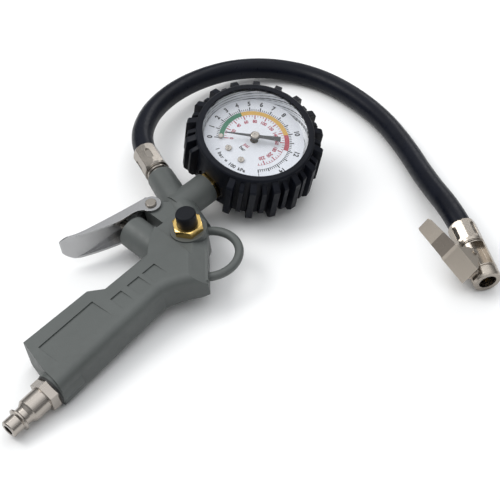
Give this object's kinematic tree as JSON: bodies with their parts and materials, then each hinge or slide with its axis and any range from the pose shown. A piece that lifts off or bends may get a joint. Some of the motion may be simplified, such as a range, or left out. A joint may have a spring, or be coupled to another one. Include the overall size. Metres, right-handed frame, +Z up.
{
  "type": "tire pressure gauge",
  "caption": "Pistol-grip tyre inflator gun with a dial gauge in a rubber boot, trigger lever, release button, hose and clip-on chuck.",
  "frame": {"origin": "middle of the gun's bounding box at floor level, hose and chuck left out", "axes": "+X along the gun from the air plug to the gauge, +Y towards the trigger lever, +Z up with the gun lying on its side"},
  "size_m": [0.2916, 0.2319, 0.0519],
  "materials": {
    "body_paint": "satin grey paint over a zinc casting",
    "nickel": "satin nickel plating",
    "lever_steel": "zinc-plated stamped steel",
    "brass": "turned brass",
    "black_rubber": "moulded black rubber",
    "hose_rubber": "smooth black rubber hose",
    "button_plastic": "moulded black plastic",
    "case_steel": "black painted steel",
    "reflector": "bright silver ring",
    "lens_clear": "clear lens",
    "dial_print": "white painted dial with printed scale",
    "pointer_black": "black painted aluminium",
    "spring_steel": "bright spring wire",
    "seal_rubber": "nitrile rubber"
  },
  "bodies": {
    "root": {"gun_body": "body_paint", "inlet_plug": "nickel", "inlet_seal": "seal_rubber", "trigger_pin": "nickel", "pin_clip": "spring_steel", "valve_gland": "nickel", "stem_ring": "seal_rubber", "valve_seat": "brass", "valve_spring": "spring_steel", "release_nut": "brass", "release_spring": "spring_steel", "gauge_boot": "black_rubber", "gauge_case": "case_steel", "gauge_reflector": "reflector", "gauge_lens": "lens_clear", "gauge_dial": "dial_print", "dial_screws": "nickel", "stop_pin": "nickel", "gauge_socket": "brass", "dial_posts": "brass", "movement_plate_lower": "brass", "movement_plate_upper": "brass", "movement_pillars": "brass", "bourdon_tube": "brass", "tube_tip": "brass", "hairspring": "spring_steel", "hose_nipple": "nickel", "hose_ferrule": "nickel", "hose": "hose_rubber", "chuck_ferrule": "nickel", "chuck_nipple": "nickel", "chuck_body": "nickel", "chuck_pin": "nickel", "chuck_seal": "seal_rubber", "chuck_pusher": "brass", "chuck_spring": "spring_steel"},
    "trigger": {"trigger_lever": "lever_steel"},
    "plunger": {"plunger": "nickel", "valve_poppet": "brass", "poppet_seal": "seal_rubber"},
    "release_button": {"release_button": "button_plastic", "release_stem": "brass", "release_seal": "seal_rubber"},
    "sector": {"sector_gear": "brass", "tip_link": "brass"},
    "pointer": {"pointer": "pointer_black", "pointer_hub": "nickel", "pinion_arbor": "brass"},
    "chuck_clip": {"chuck_clip": "nickel"}
  },
  "joints": [
    {"name": "trigger_hinge", "type": "hinge", "parent": "root", "child": "trigger", "pos_m": [0.01554, 0.0091, 0.01691], "axis": [-0.0767, 0, 0.9971], "range_deg": [0, 10], "stiffness_Nm_per_rad": 0.8, "springref_deg": -8.59},
    {"name": "plunger_slide", "type": "slide", "parent": "root", "child": "plunger", "axis": [0, -1, 0], "range_m": [0, 0.0027], "deforming": ["valve_spring"]},
    {"name": "release_slide", "type": "slide", "parent": "root", "child": "release_button", "axis": [0.0767, 0, -0.9971], "range_m": [0, 0.0025], "stiffness_N_per_m": 800, "springref_m": -0.002, "deforming": ["release_spring"]},
    {"name": "sector_swing", "type": "hinge", "parent": "root", "child": "sector", "pos_m": [0.09591, 0.0026, 0.0231], "axis": [-0.0731, -0.3024, 0.9504], "range_deg": [0, 26.5], "stiffness_Nm_per_rad": 0.002, "springref_deg": -11.46},
    {"name": "pointer_spin", "type": "hinge", "parent": "root", "child": "pointer", "pos_m": [0.07945, 0.0026, 0.02183], "axis": [0.0731, 0.3024, -0.9504], "range_deg": [0, 265]},
    {"name": "clip_hinge", "type": "hinge", "parent": "root", "child": "chuck_clip", "pos_m": [0.10492, -0.12557, 0.01309], "axis": [-0.4159, 0.3774, -0.8274], "range_deg": [0, 15], "stiffness_Nm_per_rad": 0.3, "springref_deg": -11.46, "deforming": ["chuck_spring"]}
  ],
  "couplings": [
    {"joint": "plunger_slide", "follows": "trigger_hinge", "m_per_rad": 0.0154},
    {"joint": "pointer_spin", "follows": "sector_swing", "ratio": 10}
  ]
}
